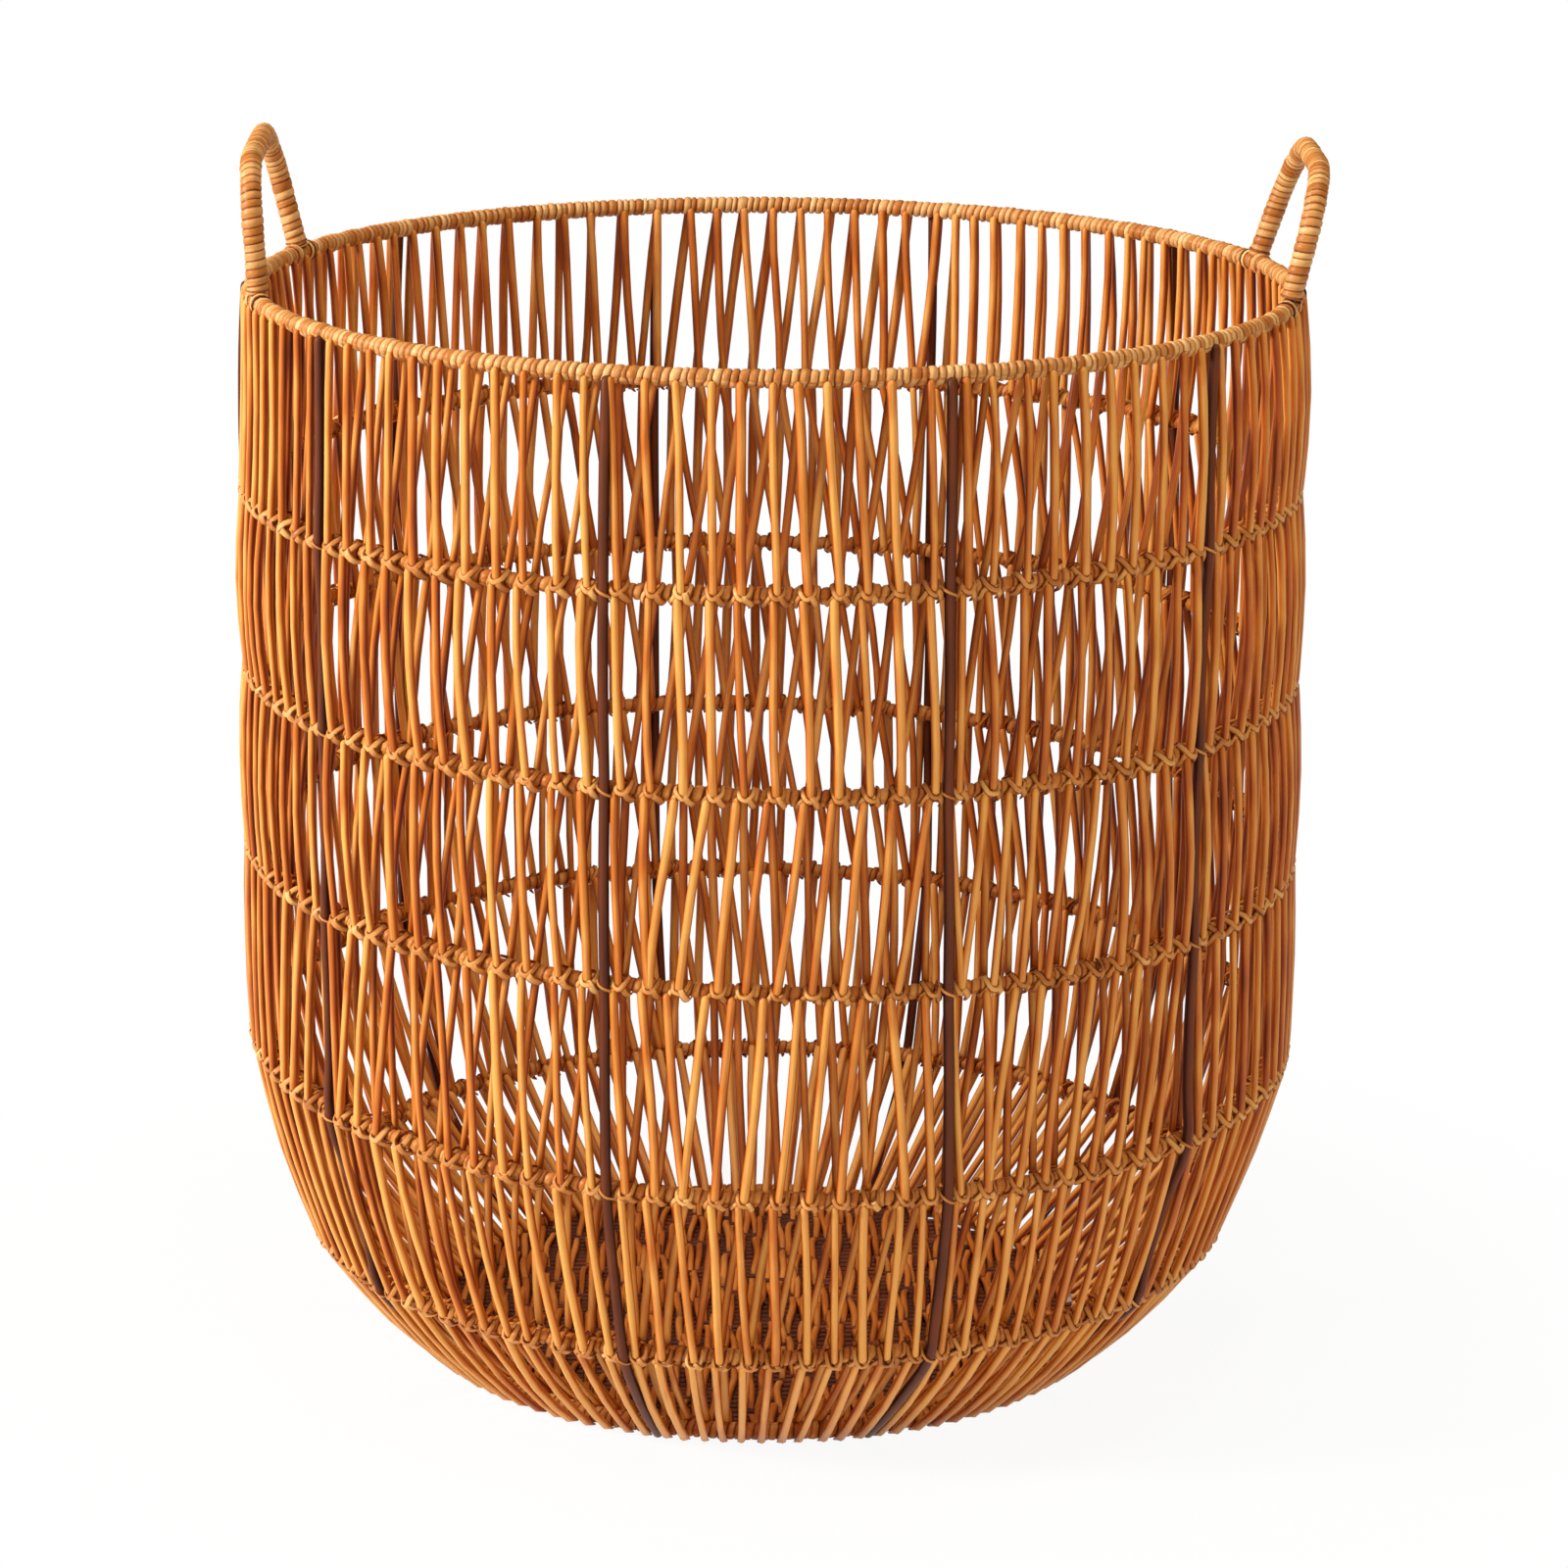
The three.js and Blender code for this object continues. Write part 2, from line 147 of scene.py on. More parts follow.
class Pile:
    """Strands and windings that become one object.

    Each point has a tone, lower where the cane is darker and where shade is painted, and higher
    where light is painted, and a grain: metres along, across and through the strand, for the cane's
    fibres.
    """

    def __init__(self):
        self.points, self.quads, self.fans, self.tones, self.grains = [], [], [], [], []
        self.count = 0

    def add(self, points, quads, fans, tones, grains):
        self.points.append(points)
        self.quads.append(quads + self.count)
        self.fans.append(fans + self.count)
        self.tones.append(tones)
        self.grains.append(grains)
        self.count += len(points)

    def made(self, name, material, replaced=None):
        points = np.concatenate(self.points)
        points[:, 2] = np.maximum(points[:, 2], FLOOR_GAP)
        faces = np.concatenate(self.quads).tolist() + np.concatenate(self.fans).tolist()
        mesh = bpy.data.meshes.new(name)
        mesh.from_pydata((points * MM).tolist(), [], faces)
        mesh.polygons.foreach_set("use_smooth", np.ones(len(mesh.polygons), bool))
        tone = mesh.attributes.new("tone", "FLOAT", "POINT")
        tone.data.foreach_set("value", np.concatenate(self.tones).astype(np.float32))
        grain = mesh.attributes.new("grain", "FLOAT_VECTOR", "POINT")
        grain.data.foreach_set("vector", np.concatenate(self.grains).astype(np.float32).ravel())
        mesh.materials.append(material)
        mesh.update()
        piece = bpy.data.objects.new(name, mesh)
        bpy.context.scene.collection.objects.link(piece)
        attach(piece, "root")
        if replaced:
            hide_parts(replaced)


# How much painted shade darkens a strand along its two edges, the turns at which a round end is
# drawn, and how far apart the grain of two strands lies, in metres.
EDGE_SHADE = -2.1
CAP_TURNS = np.radians([72, 38])
STRAND_STEP = .037


def strands(pile, paths, half_width, half_depth, facing, sides=8, ends="round", tones=None):
    """Strands along paths (strand, step, axis); facing is the direction of their depth.

    Their ends are round, flat, or joined into a ring.
    """
    count, steps = paths.shape[:2]
    half_width = np.broadcast_to(half_width, (count, steps)).astype(float)
    half_depth = np.broadcast_to(half_depth, (count, steps)).astype(float)
    joined = ends == "joined"
    along = np.roll(paths, -1, 1) - np.roll(paths, 1, 1) if joined else np.gradient(paths, axis=1)
    along /= np.linalg.norm(along, axis=2, keepdims=True)
    if ends == "round":
        caps = CAP_TURNS
        reach = (half_width + half_depth)[:, :, None] / 2
        before = [paths[:, :1] - along[:, :1] * reach[:, :1] * math.sin(cap) for cap in caps]
        after = [paths[:, -1:] + along[:, -1:] * reach[:, -1:] * math.sin(cap) for cap in caps[::-1]]
        paths = np.concatenate([*before, paths, *after], 1)
        shrink = np.concatenate([np.cos(caps), np.ones(steps), np.cos(caps[::-1])])
        repeat = np.r_[0, 0, 0:steps, steps - 1, steps - 1]
        along = along[:, repeat]
        facing = facing[:, repeat]
        half_width = half_width[:, repeat] * shrink
        half_depth = half_depth[:, repeat] * shrink
        steps += 2 * len(caps)
    facing = facing - along * np.sum(facing * along, 2, keepdims=True)
    facing /= np.linalg.norm(facing, axis=2, keepdims=True)
    across = np.cross(along, facing)
    turn = np.arange(sides) * 2 * math.pi / sides
    wide = half_width[:, :, None, None] * np.cos(turn)[:, None]
    deep = half_depth[:, :, None, None] * np.sin(turn)[:, None]
    rings = paths[:, :, None] + across[:, :, None] * wide + facing[:, :, None] * deep

    side = np.arange(sides)
    beside = (side + 1) % sides
    here = np.arange(steps if joined else steps - 1)[:, None] * sides
    there = (here + sides) % (steps * sides)
    one = np.stack([here + side, here + beside, there + beside, there + side], -1)
    first = (np.arange(count) * steps * sides)[:, None, None]
    quads = (one.reshape(1, -1, 4) + first).reshape(-1, 4)
    inner = np.arange(1, 1 if joined else sides - 1)
    start = np.stack([0 * inner, inner + 1, inner], -1)
    end = np.stack([0 * inner, inner, inner + 1], -1) + (steps - 1) * sides
    fans = (np.concatenate([start, end])[None] + first).reshape(-1, 3)

    if tones is None:
        tones = rng.random(count)
    # Painted shade along each strand's two edges.
    shades = np.repeat(tones, steps)[:, None] + EDGE_SHADE * (1 - np.abs(np.sin(turn)))
    travelled = np.linalg.norm(np.diff(paths, axis=1, prepend=paths[:, :1]), axis=2).cumsum(1)
    grains = np.zeros((count, steps, sides, 3))
    grains[..., 0] = travelled[:, :, None] * MM
    grains[..., 1] = np.sin(turn) * OUTER_ROD * MM
    own_place = np.arange(count) * STRAND_STEP
    grains[..., 2] = np.cos(turn) * OUTER_ROD * MM + own_place[:, None, None]
    pile.add(rings.reshape(-1, 3), quads, fans, shades.ravel(), grains.reshape(-1, 3))


# Where the four rings of one turn of wrap lie across it, how full it is there, and how much
# darker painted shade makes it in the groove.
TURN_RINGS = np.array([0, .17, .5, .83])
TURN_FULLNESS = np.array([0, .8, 1, .8])
GROOVE_SHADE = -2.3

# How uneven turns are in thickness, as a share of how unevenly they are spaced.
THICKNESS_SHARE = .25

# Steps in the grain from one turn to the next, along and through the cane, and the cane's
# width, in metres.
TURN_STEP_ALONG = .0131
TURN_STEP_THROUGH = .0171
CANE_WIDTH = .0025


def winding(pile, at, turns, closed, radius, groove, sides, uneven=.14):
    """A strand wound round a core; at(turn) gives the core's point and two axes across it.

    groove is how much of the radius the strand loses between two turns, and uneven is the
    spread in the turns' widths.
    """
    radius = np.broadcast_to(radius, turns) * (1 + rng.normal(0, uneven * THICKNESS_SHARE, turns))
    edges = np.arange(turns + 1) + rng.normal(0, uneven, turns + 1)
    edges[-1] = edges[0] + turns
    place = (edges[:-1, None] + TURN_RINGS * np.diff(edges)[:, None]).ravel()
    size = radius[:, None] * (1 - groove * (1 - TURN_FULLNESS))
    size[:, 0] = np.minimum(radius, np.roll(radius, 1)) * (1 - groove)
    size = size.ravel()
    around = np.arange(sides) / sides
    points, across, up = at(place[:, None] + around)
    angle = (around * 2 * math.pi)[:, None]
    rings = points + (across * np.cos(angle) + up * np.sin(angle)) * size[:, None, None]

    rows = len(place)
    row, side = np.meshgrid(np.arange(rows), np.arange(sides), indexing="ij")
    climb = np.where(side == sides - 1, len(TURN_RINGS), 0)
    beside = (side + 1) % sides
    next_row = row + climb + 1
    corners = [(row, side), (row + climb, beside), (next_row, beside), (row + 1, side)]
    if closed:
        kept = np.ones(row.size, bool)
        corners = [(which % rows, spot) for which, spot in corners]
    else:
        kept = (next_row < rows).ravel()
    quads = np.stack([which * sides + spot for which, spot in corners], -1).reshape(-1, 4)[kept]

    tones = np.repeat(rng.random(turns)[:, None], len(TURN_RINGS), 1)
    # Painted shade in the groove between two turns.
    tones[:, 0] += GROOVE_SHADE
    turn_of_row = np.arange(rows)[:, None] // len(TURN_RINGS)
    grains = np.zeros((rows, sides, 3))
    grains[..., 0] = around * 2 * math.pi * radius.mean() * MM + turn_of_row * TURN_STEP_ALONG
    grains[..., 1] = np.tile(TURN_RINGS, turns)[:, None] * CANE_WIDTH
    grains[..., 2] = turn_of_row * TURN_STEP_THROUGH
    no_fans = np.zeros((0, 3), int)
    shades = np.repeat(tones.ravel(), sides)
    pile.add(rings.reshape(-1, 3), quads, no_fans, shades, grains.reshape(-1, 3))


# Materials. Noise has a scale, per metre along, across and through the cane, and a detail.
FIBRES = ((45, 900, 900), 3)
PATCHES = ((28, 120, 120), 2)
METAL_PATCHES = ((90, 90, 30), 4)

# How much a strand's tone, painted shade and light included, and its fibres add to its patches,
# and the most that it comes to.
TONE_WEIGHT = .32
FIBRE_WEIGHT = .45
LIGHTEST = 1.3

# Where the darkest, the dark, the middle and the light colour of cane lie between 0 and 1. The
# darkest, named groove, is reached mostly through painted shade in grooves and along edges.
CANE_STOPS = (0, .28, .58, .9)

# How far the roughness of cane goes below and above its own value.
SMOOTHER = .08
ROUGHER = .12

# Strengths and heights of the bumps, and how much a surface mirrors.
CANE_BUMPS = (.25, .0004)
METAL_BUMPS = (.15, .0003)
CANE_GLOSS = .28
METAL_GLOSS = .2


def new_material(name):
    material = bpy.data.materials.new(name)
    material.use_nodes = True
    nodes = material.node_tree.nodes
    return material, nodes, material.node_tree.links, nodes["Principled BSDF"]


def colour(code):
    """Linear colour of a #RRGGBB code, with full opacity."""
    parts = [int(code[k:k + 2], 16) / 255 for k in (1, 3, 5)]
    return [part / 12.92 if part <= .04045 else ((part + .055) / 1.055) ** 2.4 for part in parts] + [1]


def noise_of(nodes, links, source, scale, detail):
    """Noise stretched along the cane."""
    stretch = nodes.new("ShaderNodeMapping")
    stretch.inputs["Scale"].default_value = scale
    links.new(source, stretch.inputs["Vector"])
    noise = nodes.new("ShaderNodeTexNoise")
    noise.inputs["Scale"].default_value = 1
    noise.inputs["Detail"].default_value = detail
    links.new(stretch.outputs["Vector"], noise.inputs["Vector"])
    return noise.outputs["Fac"]


def weighted(nodes, links, source, weight, rest):
    """source * weight + rest."""
    sum_of = nodes.new("ShaderNodeMath")
    sum_of.operation = "MULTIPLY_ADD"
    links.new(source, sum_of.inputs[0])
    sum_of.inputs[1].default_value = weight
    links.new(rest, sum_of.inputs[2])
    return sum_of.outputs[0]


def ranged(nodes, links, source, from_low, from_high, to_low=0, to_high=1):
    span = nodes.new("ShaderNodeMapRange")
    span.inputs["From Min"].default_value = from_low
    span.inputs["From Max"].default_value = from_high
    span.inputs["To Min"].default_value = to_low
    span.inputs["To Max"].default_value = to_high
    links.new(source, span.inputs["Value"])
    return span.outputs[0]


def ramp_of(nodes, links, source, stops):
    ramp = nodes.new("ShaderNodeValToRGB")
    elements = ramp.color_ramp.elements
    for index, (position, code) in enumerate(stops):
        element = elements[index] if index < 2 else elements.new(position)
        element.position = position
        element.color = colour(code)
    links.new(source, ramp.inputs["Fac"])
    return ramp.outputs["Color"]


def bumps(nodes, links, shader, height, strength, distance):
    bump = nodes.new("ShaderNodeBump")
    bump.inputs["Strength"].default_value = strength
    bump.inputs["Distance"].default_value = distance
    links.new(height, bump.inputs["Height"])
    links.new(bump.outputs["Normal"], shader.inputs["Normal"])


def cane_material(name, groove, dark, mid, light, roughness):
    """Peeled cane: fibres along the strand, patches, and a tone for each strand, which also carries
    painted shade and light.
    """
    material, nodes, links, shader = new_material(name)
    tone = nodes.new("ShaderNodeAttribute")
    tone.attribute_name = "tone"
    grain = nodes.new("ShaderNodeAttribute")
    grain.attribute_name = "grain"
    fibres = noise_of(nodes, links, grain.outputs["Vector"], *FIBRES)
    patches = noise_of(nodes, links, grain.outputs["Vector"], *PATCHES)
    shade = weighted(nodes, links, tone.outputs["Fac"], TONE_WEIGHT, patches)
    shade = weighted(nodes, links, fibres, FIBRE_WEIGHT, shade)
    shade = ranged(nodes, links, shade, 0, LIGHTEST)
    stops = list(zip(CANE_STOPS, (groove, dark, mid, light)))
    links.new(ramp_of(nodes, links, shade, stops), shader.inputs["Base Color"])
    rough = ranged(nodes, links, fibres, 0, 1, roughness - SMOOTHER, roughness + ROUGHER)
    links.new(rough, shader.inputs["Roughness"])
    shader.inputs["Specular IOR Level"].default_value = CANE_GLOSS
    bumps(nodes, links, shader, fibres, *CANE_BUMPS)
    return material


# Colours of the lacquer; the darker one is reached where painted shade lies along the edges.
METAL_TONES = [(.1, "#3A160A"), (.85, "#703414")]
METAL_TONE_WEIGHT = .4
METAL_ROUGHNESS = (.38, .55)


def metal_material(name):
    """Dark brown lacquer on metal, with painted shade along the edges, carried by the tone."""
    material, nodes, links, shader = new_material(name)
    where = nodes.new("ShaderNodeTexCoord")
    patches = noise_of(nodes, links, where.outputs["Object"], *METAL_PATCHES)
    tone = nodes.new("ShaderNodeAttribute")
    tone.attribute_name = "tone"
    shade = weighted(nodes, links, tone.outputs["Fac"], METAL_TONE_WEIGHT, patches)
    links.new(ramp_of(nodes, links, shade, METAL_TONES), shader.inputs["Base Color"])
    links.new(ranged(nodes, links, patches, 0, 1, *METAL_ROUGHNESS), shader.inputs["Roughness"])
    shader.inputs["Specular IOR Level"].default_value = METAL_GLOSS
    bumps(nodes, links, shader, patches, *METAL_BUMPS)
    return material


ROD_CANE = cane_material("cane_rods", "#4A1602", "#903A08", "#C26818", "#E6A450", .4)
HOOP_CANE = cane_material("cane_hoops", "#401402", "#8C3A08", "#B8661E", "#DC9A4E", .4)
WRAP_CANE = cane_material("cane_wrap", "#441804", "#9A5218", "#BC7430", "#ECC080", .4)
TIE_CANE = cane_material("cane_ties", "#4E1E04", "#965018", "#CA8440", "#F0C078", .42)
FLOOR_CANE = cane_material("cane_floor", "#4A1A04", "#8C3E0C", "#B8651F", "#D89046", .5)
METAL = metal_material("dark_metal")

# Wall rods. In each band between two rings, an outer and an inner rod start beside each tie.


def upright_angle(number, level):
    wander = UPRIGHT_WANDERS.get(number, [0] * (BASE + 1))
    return UPRIGHT_PLACES[number] * SPACING + UPRIGHT_SHIFTS[number] + wander[level]


def even_angles(level):
    """Angles of all places at one level, with the rods spread evenly between the uprights."""
    known, angles = [], []
    for lap in (-1, 0, 1):
        for number, place in enumerate(UPRIGHT_PLACES):
            angle = upright_angle(number, level)
            known += [place + k + lap * PLACES for k in (-1, 0, 1)]
            angles += [angle + k * BESIDE_UPRIGHT + lap * 360 for k in (-1, 0, 1)]
    return np.interp(np.arange(PLACES), known, angles)


# Angles of the ties at each level, by place, with a spread as in handwork.
TIE_SPREAD = .22
tie_angles = np.array([even_angles(level) for level in range(BASE + 1)])
tie_angles += rng.normal(0, TIE_SPREAD, tie_angles.shape)

# How far the rods of each band start before their tie, in degrees. Some start further before
# it: under the front of the rim, in waves, under its back, and in one band at the very front.
LEADS = [.2, .5, .8, .6, .6, .5]
WAVE_LEAD = .8
WAVE_HALF = .65
WAVE_REACH = 22
WAVE_COUNT = 15
WAVE_TURN = 4
BACK_LEAD = 2.1
FRONT_BAND = 3
FRONT_LEAD = .8
FRONT_REACH = 12

# Behind the sides, the rods under the rim hang straight, up to the back: the angles where they
# begin to, where they all do, and where they begin to lean and all lean again.
STRAIGHT_BEHIND = (95, 110, 155, 163)

# In two bands, stretches of rods lean the other way: one at the front, between two angles, and
# others in waves, given by their count, their turn and the height above which they lean so.
LEANING_BACK = {2: (-11, 17, 3, 40, .5), 3: (-8, 10, 4, -60, .6)}

# How far aside a rod ends that would end at an upright, and how far ahead an inner rod ends
# where rods hang straight, in places.
OUTER_ASIDE = 1.0
INNER_ASIDE = .55
INNER_AHEAD = .8

# Inner rods start a little after the outer ones. At the back of the rim they start with them,
# and before them towards the right side and after them towards the left.
INNER_LATER = .45
INNER_BEFORE = 1.33

# Towards the back, the rods of the lowest band run on round the basket as they go down.
RUN_ROUND = 3.0
RUN_ROUND_MORE = .9

# Spreads of the rods' tops, feet, sway and waver round the basket, in degrees.
TOP_SPREAD = .12
FOOT_SPREAD = .08
SWAY = .13
WAVER = .05


def tie_angle(level, place):
    """Angle of a tie, also between two places; places count on past the front."""
    lower = np.floor(place).astype(int)
    part = place - lower
    angles = [tie_angles[level, (lower + k) % PLACES] + 360 * ((lower + k) // PLACES) for k in (0, 1)]
    return angles[0] * (1 - part) + angles[1] * part


def from_front(places):
    """Angle from the front, -180 to 180."""
    return (places * SPACING + 180) % 360 - 180


def hanging_straight(places):
    """1 where the rods under the rim hang straight, and 0 elsewhere."""
    return np.interp(np.abs(from_front(places)), STRAIGHT_BEHIND, (0, 1, 1, 0))


def steps_back(band, places):
    """Whether a band's outer rods end one place back and its inner rods straight down."""
    if band not in LEANING_BACK:
        return np.zeros(len(places), bool)
    first, last, count, turn, height = LEANING_BACK[band]
    angle = from_front(places)
    at_front = (angle > first) & (angle < last)
    return at_front | (np.sin(np.radians(count * angle + turn)) > height)


def lead(band, places):
    """How far before its tie a rod starts."""
    angle = from_front(places)
    if band == FRONT_BAND:
        return LEADS[band] + FRONT_LEAD * np.exp(-(angle / FRONT_REACH) ** 2)
    if band != RIM:
        return np.full(len(places), LEADS[band])
    wave = WAVE_LEAD - WAVE_HALF * np.cos(np.radians(WAVE_COUNT * (angle + WAVE_TURN)))
    at_back = np.interp(np.abs(angle), STRAIGHT_BEHIND[2:], (0, 1))
    return LEADS[RIM] + wave * np.exp(-(angle / WAVE_REACH) ** 2) + BACK_LEAD * at_back


def rod_ends(band, side, places):
    """Angles of the tops and feet of one band's rods; side is 1 for the outer, -1 for the inner."""
    count = len(places)
    target = places - np.where(steps_back(band, places) == (side > 0), 1.0, 0.0)
    if band == RIM and side < 0:
        target = target + INNER_AHEAD * hanging_straight(places)
    if band == LOWEST_BAND:
        target = places.astype(float)
    aside = OUTER_ASIDE if side > 0 else INNER_ASIDE
    target = np.where(np.isin(target % PLACES, UPRIGHT_PLACES), target + aside, target)

    from_right = np.radians(from_front(places))
    behind = np.abs(from_front(places)) > 90
    top = tie_angle(max(band, 1), places) - lead(band, places) + rng.normal(0, TOP_SPREAD, count)
    if side < 0:
        top += INNER_LATER
    if side < 0 and band == RIM:
        top -= behind * (INNER_LATER + INNER_BEFORE * np.sin(from_right))
    foot = tie_angle(band + 1, target) + rng.normal(0, FOOT_SPREAD, count)
    if band == LOWEST_BAND:
        round_back = -np.sin(2 * from_right) * behind
        top += RUN_ROUND_MORE * round_back * (side > 0)
        foot += (RUN_ROUND + RUN_ROUND_MORE * (side > 0)) * round_back
    return top, foot


# How far down a rod its points are.
ROD_STEPS = np.array([0, .07, .25, .5, .75, .93, 1.0])

# How much thicker rods are at the sides; at the back they are twice that. Their thickness also
# varies from rod to rod and along a rod, and their depth is a share of their width.
THICKER_BEHIND = .08
THICKNESS_SPREAD = .13
THICKNESS_WAVER = .025
FLATNESS = .94

# How far along the wall rods start after a ring's centre line, and end before the next one's.
RIM_DROP = 2.4
HOOP_DROP = 2.2
HOOP_TRIM = 2.4
BASE_TRIM = -2.0

# How far from the rim's centre line the rods lie at the side, how much further at the front and
# less at the back, and how far they sink into the base ring.
RIM_SEAT = 3.5
RIM_SEAT_MORE = .7
BASE_SINK = 1.0

# How far the rods of each band stand out between their ends, and how much more at the right.
BOWS = [1.0, 2.0, 2.0, .8, 1.8, 3.1]
MORE_BOW_RIGHT = [1.5, 0, 0, 0, -.8, 0]
BOW_SPREAD = .3


def rod_band(band, side, places):
    """Paths, half thicknesses and outward directions of one band's outer or inner rods."""
    count = len(places)
    top, foot = rod_ends(band, side, places)
    t = ROD_STEPS
    angle = top[:, None] + (foot - top)[:, None] * t
    angle += rng.normal(0, SWAY, (count, 1)) * np.sin(math.pi * t)
    angle += rng.normal(0, WAVER, (count, 1)) * np.sin(2 * math.pi * t)

    upper = centre(band, angle)
    lower = centre(band + 1, angle)
    span = np.linalg.norm(lower - upper, axis=2, keepdims=True)
    drop = RIM_DROP if band == RIM else HOOP_DROP
    trim = BASE_TRIM if band == LOWEST_BAND else HOOP_TRIM
    part = (drop + (span - drop - trim) * t[:, None]) / span
    normal = NORMALS[band] * (1 - part) + NORMALS[band + 1] * part
    normal /= np.linalg.norm(normal, axis=2, keepdims=True)
    facing = outward(angle) * normal[..., :1] + UP * normal[..., 1:]

    rod = OUTER_ROD if side > 0 else INNER_ROD
    rod = rod * (1 + THICKER_BEHIND * (1 - np.cos(np.radians(angle))))
    seat_above = HOOP_WRAP + rod - SINK
    seat_below = HOOP_WRAP + rod - SINK
    if band == RIM:
        seat_above = RIM_SEAT + RIM_SEAT_MORE * np.cos(np.radians(angle))
    if band == LOWEST_BAND:
        seat_below = BASE_WRAP + rod - BASE_SINK
    more = MORE_BOW_RIGHT[band] * np.sin(np.radians(angle))
    bow = BOWS[band] + more + rng.normal(0, BOW_SPREAD, (count, 1))
    away = side * (seat_above + (seat_below - seat_above) * t) + bow * np.sin(math.pi * t)
    paths = upper + (lower - upper) * part + facing * away[:, :, None]
    thick = rod * rng.uniform(1 - THICKNESS_SPREAD, 1 + THICKNESS_SPREAD, (count, 1))
    thick = thick * (1 + rng.normal(0, THICKNESS_WAVER, (count, len(t))))
    return paths, thick, facing


# Tones of the rods: their spread, the least of the outer and of the inner ones, the inner lower by
# painted shade, and how much lighter each band is, the lowest two by painted light.
TONE_SPREAD = 1.2
OUTER_TONE = .4
SHADED_INNER_TONE = .1
PAINTED_LIGHT_BY_BAND = [0, 0, 0, 0, .3, .7]


def wall_rods():
    next_uprights = UPRIGHT_PLACES[1:] + [UPRIGHT_PLACES[0] + PLACES]
    for number, (before, after) in enumerate(zip(UPRIGHT_PLACES, next_uprights), 1):
        places = np.arange(before + 1, after)
        pile = Pile()
        for band in range(BASE):
            for side in (1, -1):
                paths, thick, facing = rod_band(band, side, places)
                # The inner rods' lower tone is painted shade, and the lowest two bands' extra is
                # painted light.
                least = (OUTER_TONE if side > 0 else SHADED_INNER_TONE) + PAINTED_LIGHT_BY_BAND[band]
                tones = rng.random(len(places)) * TONE_SPREAD + least
                strands(pile, paths, thick, thick * FLATNESS, facing, tones=tones)
        pile.made(f"rods_{number:02d}", ROD_CANE, f"wall_section_{number:02d}")


# Uprights, outside the hoops, from under the rim to the base ring. The two at the sides of
# the front lie in behind the rods between the hoops.
UPRIGHT_BOWS = [1.0, 1.2, 1.2, 1.0, 1.6, 2.8]
UPRIGHT_STEPS = np.array([0, .35, .7])
LYING_IN = {1: -1.1, 8: -.8}

# How far an upright sinks into the base ring's wrap, and how far its inner side is from each
# ring's centre line.
UPRIGHT_BASE_SINK = 2.2
UPRIGHT_SEATS = [RIM_WRAP - UPRIGHT, *[HOOP_WRAP - SINK] * len(HOOPS), BASE_WRAP - UPRIGHT_BASE_SINK]

# How far under the rim's centre line an upright starts, and how much is cut off its foot.
UNDER_RIM = RIM_WRAP * .6
FOOT_TRIM = 2.0


def upright_path(number):
    """Points of an upright and its outward directions, from the rim down."""
    points, facings = [], []
    for level in range(BASE + 1):
        steps = UPRIGHT_STEPS if level < BASE else np.zeros(1)
        for t in steps:
            below = min(level + 1, BASE)
            angle = upright_angle(number, level) * (1 - t) + upright_angle(number, below) * t
            normal = NORMALS[level] * (1 - t) + NORMALS[below] * t
            normal = normal / np.linalg.norm(normal)
            facing = outward(angle) * normal[0] + UP * normal[1]
            away = UPRIGHT_SEATS[level] * (1 - t) + UPRIGHT_SEATS[below] * t + UPRIGHT
            if level < BASE:
                away += UPRIGHT_BOWS[level] * LYING_IN.get(number, 1) * math.sin(math.pi * t)
            middle = centre(level, angle) * (1 - t) + centre(below, angle) * t
            points.append(middle + facing * away)
            facings.append(facing)
    points[0] -= UP * UNDER_RIM
    last = points[-2] - points[-1]
    points[-1] += last / np.linalg.norm(last) * FOOT_TRIM
    return np.array(points), np.array(facings)


def uprights():
    for number in range(len(UPRIGHT_PLACES)):
        points, facings = upright_path(number)
        pile = Pile()
        path = curve_through(points[None], 3)
        strands(pile, path, UPRIGHT, UPRIGHT, curve_through(facings[None], 3), sides=12)
        pile.made(f"upright_{number + 1:02d}", METAL, f"stake_{number + 1:02d}")


# Wrapped rings: how wide a turn is, how much of the radius a groove takes, how full the turns
# of a hoop are before, at and after a tie, and the half thickness of the rim's metal core.
RIM_PITCH = 3.6
BASE_PITCH = 3.8
RIM_GROOVE = .24
HOOP_GROOVE = .25
BASE_GROOVE = .2
TIE_FULLNESS = (.9, 1.04, .9)
RIM_CORE = 2.4


def ring_at(level, turns):
    """Axes of a ring's wrap."""
    def at(turn):
        angle = 360 * turn / turns
        return centre(level, angle), outward(angle), np.broadcast_to(UP, angle.shape + (3,))
    return at


def wrapped_ring(name, level, node, material, turns, radius, groove, sides=8):
    pile = Pile()
    winding(pile, ring_at(level, turns), turns, True, radius, groove, sides)
    pile.made(name, material, node)


def rings():
    rim_turns = round(2 * math.pi * RIM_RADIUS / RIM_PITCH)
    wrapped_ring("rim_winding", RIM, "rim_wrap", WRAP_CANE, rim_turns, RIM_WRAP, RIM_GROOVE, sides=10)
    radii = HOOP_WRAP * np.tile(TIE_FULLNESS, PLACES)
    for hoop in HOOPS:
        name = f"hoop_winding_{hoop}"
        wrapped_ring(name, hoop, f"hoop_{hoop}", HOOP_CANE, len(radii), radii, HOOP_GROOVE)
    base_turns = round(2 * math.pi * BASE_RADIUS / BASE_PITCH)
    wrapped_ring("base_winding", BASE, "base_ring", HOOP_CANE, base_turns, BASE_WRAP, BASE_GROOVE)
    pile = Pile()
    angle = np.arange(0, 360, SPACING)
    strands(pile, centre(RIM, angle)[None], RIM_CORE, RIM_CORE, outward(angle)[None], ends="joined")
    pile.made("rim_metal", METAL, "rim_core")


